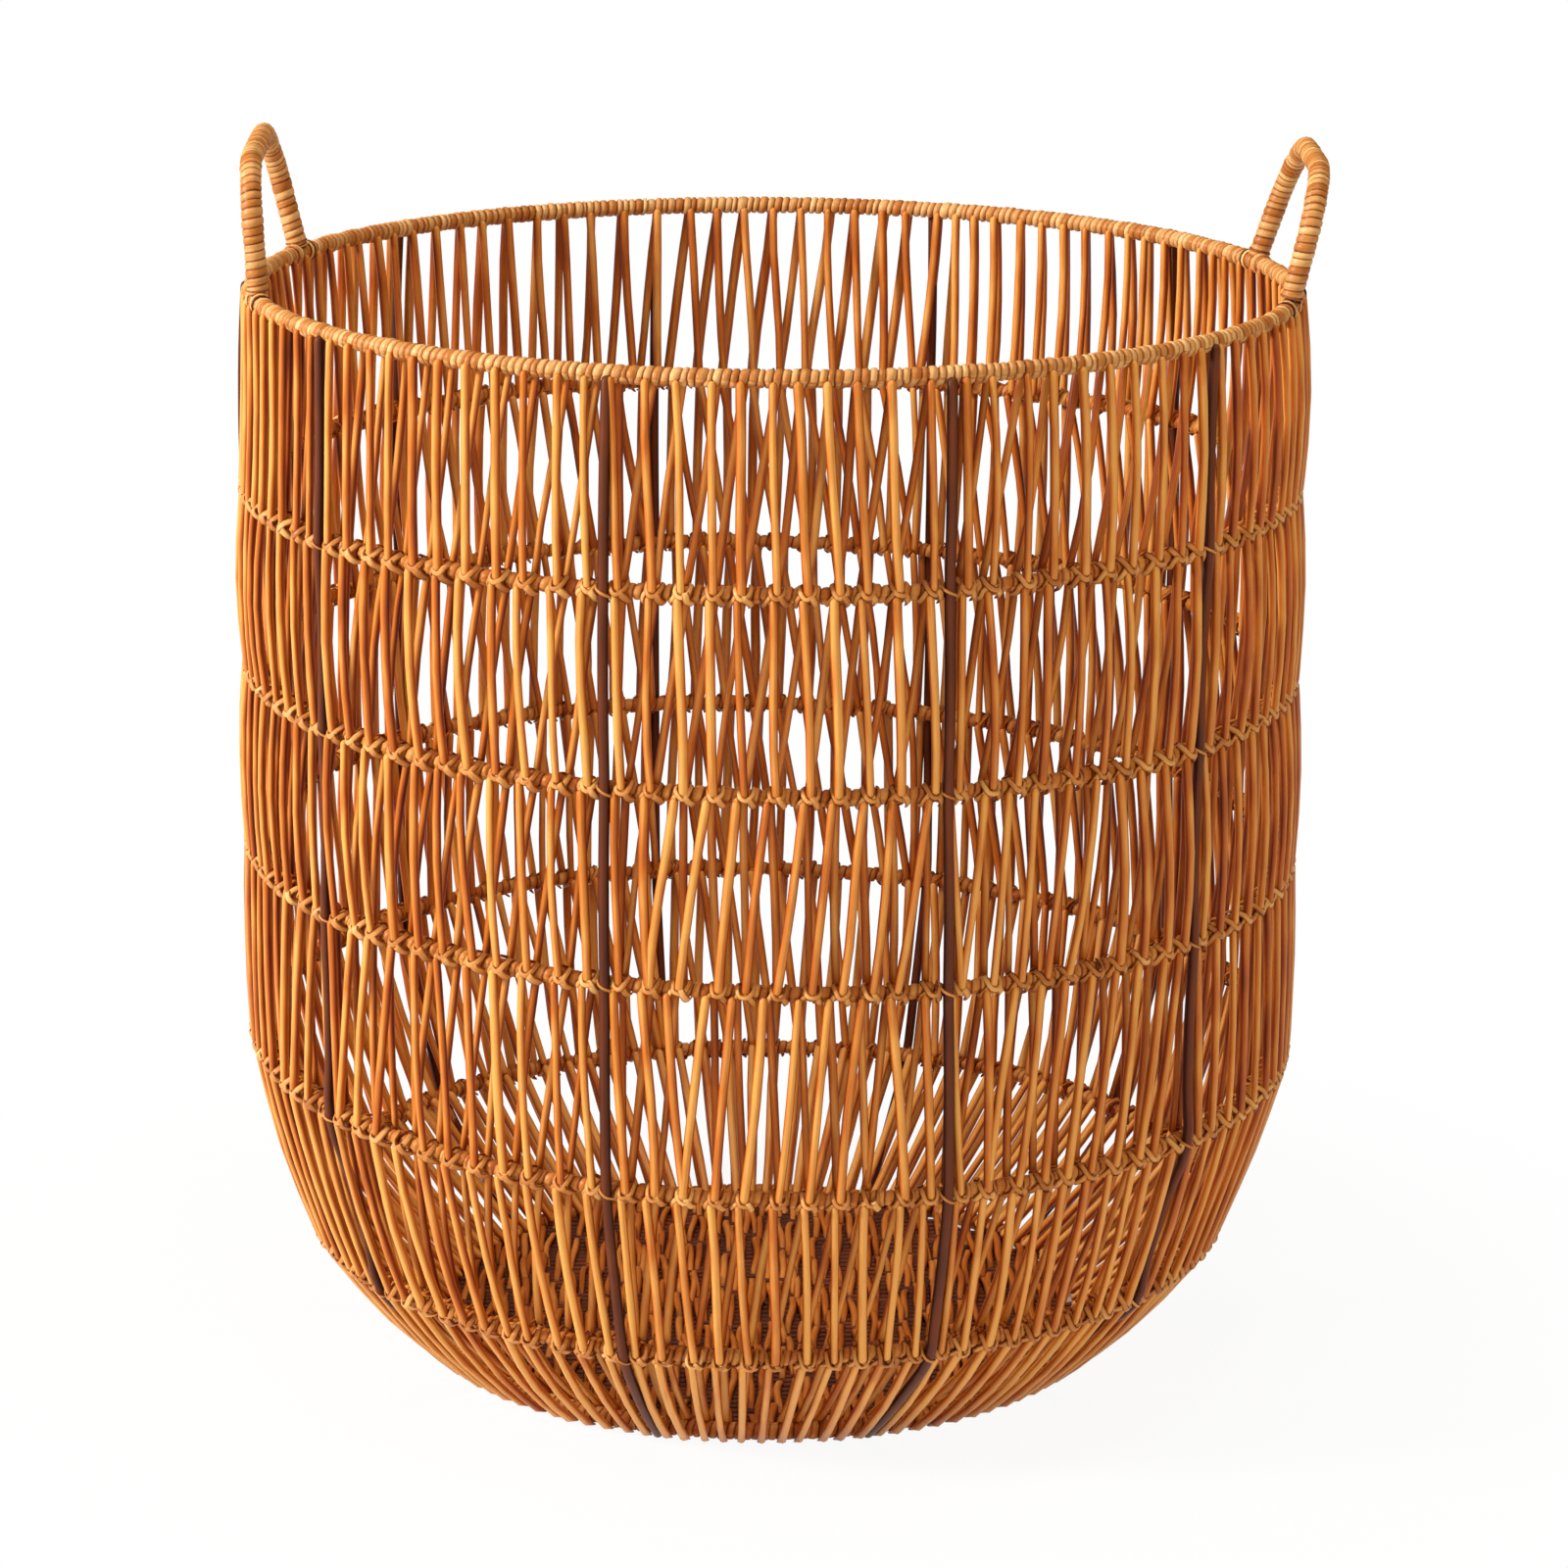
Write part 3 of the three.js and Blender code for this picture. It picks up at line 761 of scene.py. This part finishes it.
# Ties at the hoops, as (sideways, outward, upward) from the hoop's centre: a sling under the
# tip of a rod, strands down from it at both sides of the next rod, one over the inner rods,
# and a strap and a bead at an upright.
SLING = np.array([
    (-3.1, .8, 4.2), (-2.8, 5.2, 2.4), (-1.5, 6.9, .2),
    (1.3, 7.0, -.1), (3.2, 5.2, 2.2), (3.7, .8, 4.2)])
RIGHT_STRAND = np.array([
    (1.0, 6.1, 1.4), (1.9, 6.8, -.1), (3.0, 5.9, -1.9), (3.7, 3.8, -3.4), (3.8, .8, -4.4)])
LEFT_STRAND = np.array([(-2.4, 5.6, 1.2), (-4.3, 5.0, -.9), (-5.0, 3.6, -2.9), (-5.2, .8, -4.3)])
INNER_STRAND = np.array([
    (-2.2, .8, 4.2), (-1.6, 4.8, 2.6), (-.2, 6.2, .2), (1.2, 5.2, -2.2), (1.8, .8, -4.2)])
STRAP = np.array([
    (-3.6, .8, 3.9), (-3.4, 5.2, 2.2), (-1.6, 7.9, .8),
    (1.2, 8.1, -.6), (3.2, 5.6, -2.0), (3.4, .8, -3.9)])
BEAD = np.array([(3.8, 3.7, -3.9), (4.6, 4.6, -.6), (5.8, 3.9, 3.2)])

# Half widths and half depths of the strands, and how much wider the outer ones are at the sides.
SLING_WIDTH = 1.15
RIGHT_WIDTH = 1.55
LEFT_WIDTH = 1.15
INNER_WIDTH = 1.2
STRAP_WIDTH = .75
OUTER_DEPTH = .6
INNER_DEPTH = .5
BEAD_SIZE = (1.9, 1.5)
WIDER_TIES = .5

# How far the points of ties, beads and straps stray from their shapes.
STRAY = .25
BEAD_STRAY = .2
STRAP_STRAY = .1

# A bead swells from end to end like a sine between two turns.
BEAD_TURNS = (.6, 2.5)


def along_hoop(level, angles, shape, side, stray, per_span=2):
    """A shape laid at several angles along a hoop, with its directions away from the hoop."""
    normal = NORMALS[level]
    out = (outward(angles) * normal[0] + UP * normal[1])[:, None]
    across = sideways(angles)[:, None]
    up = np.cross(out, across)
    up *= np.sign(up[..., 2:])
    local = shape + rng.normal(0, stray, (len(angles),) + shape.shape)
    middle = centre(level, angles)[:, None]
    path = middle + across * local[..., :1] + out * side * local[..., 1:2] + up * local[..., 2:]
    return curve_through(path, per_span), curve_through(path - middle, per_span)


def outer_ties(hoop, angles):
    """Ties of the outer rods at one hoop, and a strap and a bead at each upright."""
    pile = Pile()
    widening = 1 + WIDER_TIES * np.abs(np.sin(np.radians(angles)))[:, None]
    shapes = ((SLING, SLING_WIDTH), (RIGHT_STRAND, RIGHT_WIDTH), (LEFT_STRAND, LEFT_WIDTH))
    for shape, half_width in shapes:
        path, facing = along_hoop(hoop, angles, shape, 1, STRAY)
        strands(pile, path, half_width * widening, OUTER_DEPTH, facing, sides=6, ends="flat")
    at_uprights = np.array([upright_angle(number, hoop) for number in range(len(UPRIGHT_PLACES))])
    path, facing = along_hoop(hoop, at_uprights, STRAP, 1, STRAP_STRAY)
    strands(pile, path, STRAP_WIDTH, INNER_DEPTH, facing, sides=6, ends="flat")
    path, facing = along_hoop(hoop, at_uprights, BEAD, 1, BEAD_STRAY)
    swell = np.sin(np.linspace(*BEAD_TURNS, path.shape[1]))
    strands(pile, path, BEAD_SIZE[0] * swell, BEAD_SIZE[1] * swell, facing)
    pile.made(f"ties_{hoop}", TIE_CANE)


def inner_ties(hoop, angles):
    pile = Pile()
    path, facing = along_hoop(hoop, angles, INNER_STRAND, -1, STRAY)
    strands(pile, path, INNER_WIDTH, INNER_DEPTH, facing, sides=6, ends="flat")
    pile.made(f"inner_ties_{hoop}", HOOP_CANE)


def ties():
    for hoop in HOOPS:
        angles = tie_angles[hoop, ROD_PLACES]
        outer_ties(hoop, angles)
        inner_ties(hoop, angles)


# Handles: an arch over two feet on the rim, which leans out more towards the back. Its winding
# starts a little above the rim's centre line, and has its finest turns at the top.
HANDLE_WRAP = 5.0
HANDLE_CORE = 2.6
HANDLE_TURNS = 74
HANDLE_GROOVE = .11
HANDLE_UNEVEN = .08
FOOT_SUNK = 3.0
FINER_ABOVE = .24

# Rings of cane round the rim at a foot, by their places along the rim towards the handle's end,
# and a collar round the leg, by its place up the leg. Tones and half widths are those of the
# rings, and last of the collar. The dark tones of the last ring and of the collar are painted shade,
# in a groove of the rim and where leg and rim meet.
FOOT_RINGS = (-8.3, -6.2, 6.2, 9.0)
FOOT_RING_RADIUS = RIM_WRAP + .3
COLLAR_PLACE = 5.6
COLLAR_RADIUS = HANDLE_WRAP - .2
FOOT_TONES_AND_SHADES = np.array([1.2, 1.5, 1.5, -1, -.6])
FOOT_WIDTHS = np.array([1.2, 1.2, 1.2, .8, .5])
FOOT_DEPTH = .6


class Handle:
    """One handle; side is 1 at the right and -1 at the left.

    feet and leans are the angles of its front and back foot, from the front and from upright.
    """

    def __init__(self, word, side, feet, height, corner, leans):
        self.word = word
        self.side = side
        self.height = height
        self.corner = corner
        self.leans = leans
        self.feet = [np.array(side * angle) for angle in feet]
        self.start, stop = (centre(RIM, foot) for foot in self.feet)
        self.chord = stop - self.start
        self.spread = np.hypot(*self.chord[:2]) / 2
        self.out = side * np.array([self.chord[1], -self.chord[0], 0]) / (2 * self.spread)
        self.leg = height - corner
        self.bend = corner * math.pi / 2
        self.length = 2 * (self.leg + self.bend + self.spread - corner)

    def point(self, distance):
        """Point on the centre line at a distance along it from the front foot."""
        mirrored = distance > self.length / 2
        travelled = np.where(mirrored, self.length - distance, distance)
        turn = np.clip((travelled - self.leg) / self.corner, 0, math.pi / 2)
        past_bend = np.clip(travelled - self.leg - self.bend, 0, None)
        along = self.corner * (1 - np.cos(turn)) + past_bend
        part = along / self.spread / 2
        part = np.where(mirrored, 1 - part, part)[..., None]
        above = (np.minimum(travelled, self.leg) + self.corner * np.sin(turn))[..., None]
        lean = np.radians(self.leans[0] * (1 - part) + self.leans[1] * part)
        return self.start + self.chord * part + above * (self.out * np.sin(lean) + UP * np.cos(lean))

    def direction(self, distance):
        along = self.point(distance + .5) - self.point(distance - .5)
        return along / np.linalg.norm(along, axis=-1, keepdims=True)

    def at(self, turn):
        """Axes of the winding; its turns are finest at the top of the arch."""
        part = np.clip(turn / HANDLE_TURNS, 0, 1)
        part = part + FINER_ABOVE / (2 * math.pi) * np.sin(2 * math.pi * part)
        distance = FOOT_SUNK + (self.length - 2 * FOOT_SUNK) * part
        along = self.direction(distance)
        across = across_from(self.out, along)
        return self.point(distance), across, np.cross(along, across)


def across_from(direction, along):
    """The part of a direction that is square to another, one long."""
    across = direction - along * np.sum(direction * along, -1, keepdims=True)
    return across / np.linalg.norm(across, axis=-1, keepdims=True)


def circle(middle, first, second, radius, steps=14):
    angle = np.arange(steps)[:, None] * 2 * math.pi / steps
    return middle + radius * (np.cos(angle) * first + np.sin(angle) * second)


def handle_foot(pile, angle, leg, along, end):
    """Rings of cane round the rim at a leg, with painted shade on the ring at the handle's end and on
    the collar where leg and rim meet.
    """
    middle = centre(RIM, angle)
    middles = [middle + sideways(angle) * end * offset for offset in FOOT_RINGS]
    loops = [circle(point, outward(angle), UP, FOOT_RING_RADIUS) for point in middles]
    first = across_from(outward(angle), along)
    middles.append(leg)
    loops.append(circle(leg, first, np.cross(along, first), COLLAR_RADIUS))
    paths = np.array(loops)
    away = paths - np.array(middles)[:, None]
    widths = FOOT_WIDTHS[:, None]
    strands(pile, paths, widths, FOOT_DEPTH, away, sides=6, ends="joined", tones=FOOT_TONES_AND_SHADES)


def make_handle(handle):
    pile = Pile()
    winding(pile, handle.at, HANDLE_TURNS, False, HANDLE_WRAP, HANDLE_GROOVE, 12, HANDLE_UNEVEN)
    node = f"handle_{handle.word}_winding"
    pile.made(f"handle_{handle.word}_wrap", WRAP_CANE, node)
    pile = Pile()
    distance = np.linspace(FOOT_SUNK, handle.length - FOOT_SUNK, 40)
    path = handle.point(distance)[None]
    strands(pile, path, HANDLE_CORE, HANDLE_CORE, np.broadcast_to(handle.out, path.shape))
    pile.made(f"handle_{handle.word}_metal", METAL, f"handle_{handle.word}_core")
    for number, distance in enumerate((COLLAR_PLACE, handle.length - COLLAR_PLACE)):
        pile = Pile()
        spot = np.array(distance)
        end = handle.side * (2 * number - 1)
        handle_foot(pile, handle.feet[number], handle.point(spot), handle.direction(spot), end)
        node = f"handle_{handle.word}_binding_{number + 1}"
        pile.made(f"handle_{handle.word}_foot_{number + 1}", WRAP_CANE, node)


# Woven floor: strands from front to back that float over most of the crosswise ones, under
# which they dive between two floats.
FLOOR_RADIUS = 154.6
FLOOR_SHIFT = SHIFTS[BASE]
END_GAP = 1.5

# Strands from front to back: their pitch, how many there are at each side of the middle one, the
# step between their points, their half width, its spread, and their depth as a share of it.
LENGTHWISE_PITCH = 4.4
LENGTHWISE_EACH_SIDE = 33
LENGTHWISE_STEP = 3.6
LENGTHWISE_HALF = 1.95
LENGTHWISE_SPREAD = .06
LENGTHWISE_DEPTH = .8

# The height, lengths and arch of their floats, how deep they dive, and for what share of a float.
FLOAT_HEIGHT = 5.2
FLOAT_LENGTHS = (28, 60)
ARCHED = 1.1
ARCH_SHARES = (.5, 1.2)
DIVE = 3.4
DIVE_SHARE = .1

# How far they lie to one side, and waves to both sides, by half width, length and turn.
ASIDE_SPREAD = .6
SIDE_WAVES = ((1.4, 19, 2.3), (.6, 7, 1))

# Crosswise strands, darkened by painted shade as they lie under the floats, and their waves forward
# and back.
CROSSWISE_PITCH = 5.2
CROSSWISE_EACH_SIDE = 29
CROSSWISE_STEP = 9.0
CROSSWISE_HEIGHT = 2.4
CROSSWISE_HALF = 2.3
CROSSWISE_DEPTH = 1.4
CROSSWISE_SHADE = -1.4
CROSSWISE_WAVE = .5
CROSSWISE_WAVE_LENGTH = 23


def half_chord(offset):
    return math.sqrt(FLOOR_RADIUS ** 2 - offset ** 2) - END_GAP


def lengthwise_strands(pile):
    for index in range(-LENGTHWISE_EACH_SIDE, LENGTHWISE_EACH_SIDE + 1):
        x = index * LENGTHWISE_PITCH
        half = half_chord(x)
        y = np.arange(-half, half, LENGTHWISE_STEP)
        part = (y / rng.uniform(*FLOAT_LENGTHS) + rng.random()) % 1
        dip = DIVE * np.exp(-((part - .5) / DIVE_SHARE) ** 2)
        arch = ARCHED * np.cos(2 * math.pi * part) * rng.uniform(*ARCH_SHARES)
        wander = rng.normal(0, ASIDE_SPREAD)
        for size, length, turn in SIDE_WAVES:
            wander = wander + size * np.sin(y / length + index * turn)
        path = np.stack([FLOOR_SHIFT + x + wander, y, FLOAT_HEIGHT - dip + arch], -1)[None]
        thick = LENGTHWISE_HALF * (1 + rng.normal(0, LENGTHWISE_SPREAD))
        facing = np.broadcast_to(UP, path.shape)
        strands(pile, path, thick, thick * LENGTHWISE_DEPTH, facing, sides=6)


def crosswise_strands(pile):
    # Painted shade on the crosswise strands under the floats.
    tones = np.array([CROSSWISE_SHADE])
    for index in range(-CROSSWISE_EACH_SIDE, CROSSWISE_EACH_SIDE + 1):
        half = half_chord(index * CROSSWISE_PITCH)
        x = np.arange(-half, half, CROSSWISE_STEP)
        y = index * CROSSWISE_PITCH + CROSSWISE_WAVE * np.sin(x / CROSSWISE_WAVE_LENGTH + index)
        path = np.stack([FLOOR_SHIFT + x, y, np.full_like(x, CROSSWISE_HEIGHT)], -1)[None]
        facing = np.broadcast_to(UP, path.shape)
        strands(pile, path, CROSSWISE_HALF, CROSSWISE_DEPTH, facing, sides=6, tones=tones)


def floor():
    pile = Pile()
    lengthwise_strands(pile)
    crosswise_strands(pile)
    pile.made("floor_weave", FLOOR_CANE, "floor_mat")


# Stage, light and camera.
STAGE_HALF = 6
STAGE_WHITE = (.85, .85, .85, 1)

# The stage glows for the camera outside the base ring, in two shares. Each grows from nothing to
# whole between two distances from the middle, in metres.
NEAR_GLOW = .93
NEAR_GLOW_GROWS = (.152, .158)
FAR_GLOW = .07
FAR_GLOW_GROWS = (.22, .5)


def seen_by(nodes, links, kinds):
    """1 for the named kinds of ray, 0 for the rest."""
    path = nodes.new("ShaderNodeLightPath")
    share = path.outputs[kinds[0]]
    for kind in kinds[1:]:
        either = nodes.new("ShaderNodeMath")
        either.operation = "MAXIMUM"
        links.new(share, either.inputs[0])
        links.new(path.outputs[kind], either.inputs[1])
        share = either.outputs[0]
    return share


def stage():
    """White floor that glows for the camera, but not under the basket, where it stays in shade."""
    half = STAGE_HALF
    corners = [(-half, -half, 0), (half, -half, 0), (half, half, 0), (-half, half, 0)]
    mesh = bpy.data.meshes.new("stage_floor")
    mesh.from_pydata(corners, [], [(0, 1, 2, 3)])
    ground = bpy.data.objects.new("stage_floor", mesh)
    bpy.context.scene.collection.objects.link(ground)
    material, nodes, links, shader = new_material("stage_white")
    shader.inputs["Base Color"].default_value = STAGE_WHITE
    shader.inputs["Roughness"].default_value = .9
    where = nodes.new("ShaderNodeTexCoord")
    distance = nodes.new("ShaderNodeVectorMath")
    distance.operation = "LENGTH"
    links.new(where.outputs["Object"], distance.inputs[0])
    near = ranged(nodes, links, distance.outputs["Value"], *NEAR_GLOW_GROWS, 0, NEAR_GLOW)
    far = ranged(nodes, links, distance.outputs["Value"], *FAR_GLOW_GROWS, 0, FAR_GLOW)
    share = nodes.new("ShaderNodeMath")
    share.operation = "MULTIPLY"
    rays = seen_by(nodes, links, ["Is Camera Ray", "Is Glossy Ray", "Is Transmission Ray"])
    links.new(rays, share.inputs[0])
    links.new(weighted(nodes, links, near, 1, far), share.inputs[1])
    glow = nodes.new("ShaderNodeEmission")
    mix = nodes.new("ShaderNodeMixShader")
    links.new(share.outputs[0], mix.inputs["Fac"])
    links.new(shader.outputs[0], mix.inputs[1])
    links.new(glow.outputs[0], mix.inputs[2])
    links.new(mix.outputs[0], nodes["Material Output"].inputs["Surface"])
    mesh.materials.append(material)


SKY_TINT = (1, .82, .54, 1)
SKY_STRENGTH = .3


def surroundings():
    world = bpy.data.worlds.new("studio")
    bpy.context.scene.world = world
    world.use_nodes = True
    nodes, links = world.node_tree.nodes, world.node_tree.links
    soft = nodes["Background"]
    soft.inputs["Color"].default_value = SKY_TINT
    soft.inputs["Strength"].default_value = SKY_STRENGTH
    white = nodes.new("ShaderNodeBackground")
    white.inputs["Color"].default_value = (1, 1, 1, 1)
    mix = nodes.new("ShaderNodeMixShader")
    links.new(seen_by(nodes, links, ["Is Camera Ray", "Is Transmission Ray"]), mix.inputs["Fac"])
    links.new(soft.outputs[0], mix.inputs[1])
    links.new(white.outputs[0], mix.inputs[2])
    links.new(mix.outputs[0], nodes["World Output"].inputs["Surface"])


# What the lamps point at: the middle of the basket.
LAMP_AIM = (0, 0, .27)


def lamp(name, place, size, power, tint):
    """A square lamp; its size is in metres and its power in watts."""
    data = bpy.data.lights.new(name, "AREA")
    data.size = size
    data.energy = power
    data.color = tint
    light = bpy.data.objects.new(name, data)
    light.location = place
    aim = Vector(LAMP_AIM) - Vector(place)
    light.rotation_euler = aim.to_track_quat("-Z", "Y").to_euler()
    bpy.context.scene.collection.objects.link(light)


# The photograph's camera, fitted to the rings and the outline: its place in metres, its turns in
# radians and its lens in millimetres.
CAMERA_PLACE = (0, -2.3761, .9406)
CAMERA_DOWN = .2758
CAMERA_TURN = .00321
CAMERA_ROLL = .00579
FOCAL_LENGTH = 119.66
SENSOR_WIDTH = 36


def camera():
    data = bpy.data.cameras.new("photo_camera")
    data.sensor_width = SENSOR_WIDTH
    data.lens = FOCAL_LENGTH
    forward = Vector((
        math.sin(CAMERA_TURN) * math.cos(CAMERA_DOWN),
        math.cos(CAMERA_TURN) * math.cos(CAMERA_DOWN),
        -math.sin(CAMERA_DOWN),
    ))
    level_right = Vector((math.cos(CAMERA_TURN), -math.sin(CAMERA_TURN), 0))
    level_up = level_right.cross(forward)
    right = level_right * math.cos(CAMERA_ROLL) + level_up * math.sin(CAMERA_ROLL)
    up = level_up * math.cos(CAMERA_ROLL) - level_right * math.sin(CAMERA_ROLL)
    turned = Matrix((right, up, -forward)).transposed().to_4x4()
    seen_from = bpy.data.objects.new("photo_camera", data)
    seen_from.matrix_world = Matrix.Translation(CAMERA_PLACE) @ turned
    bpy.context.scene.collection.objects.link(seen_from)
    bpy.context.scene.camera = seen_from


wall_rods()
uprights()
rings()
ties()
make_handle(Handle("right", 1, feet=(75.5, 107.1), height=62, corner=35, leans=(13.5, 18.4)))
make_handle(Handle("left", -1, feet=(75.7, 109.3), height=61.8, corner=27.5, leans=(3.2, 13.3)))
floor()

stage()
surroundings()
lamp("key", (-2.95, -.95, 1.7), .7, 142, (1, 1, 1))
lamp("fill", (1.1, -2.6, .25), 1.2, 18, (1, .88, .66))
lamp("top", (.1, -.4, 2.3), 1.4, 21, (1, .97, .93))
camera()
bpy.context.scene.view_settings.view_transform = "Standard"
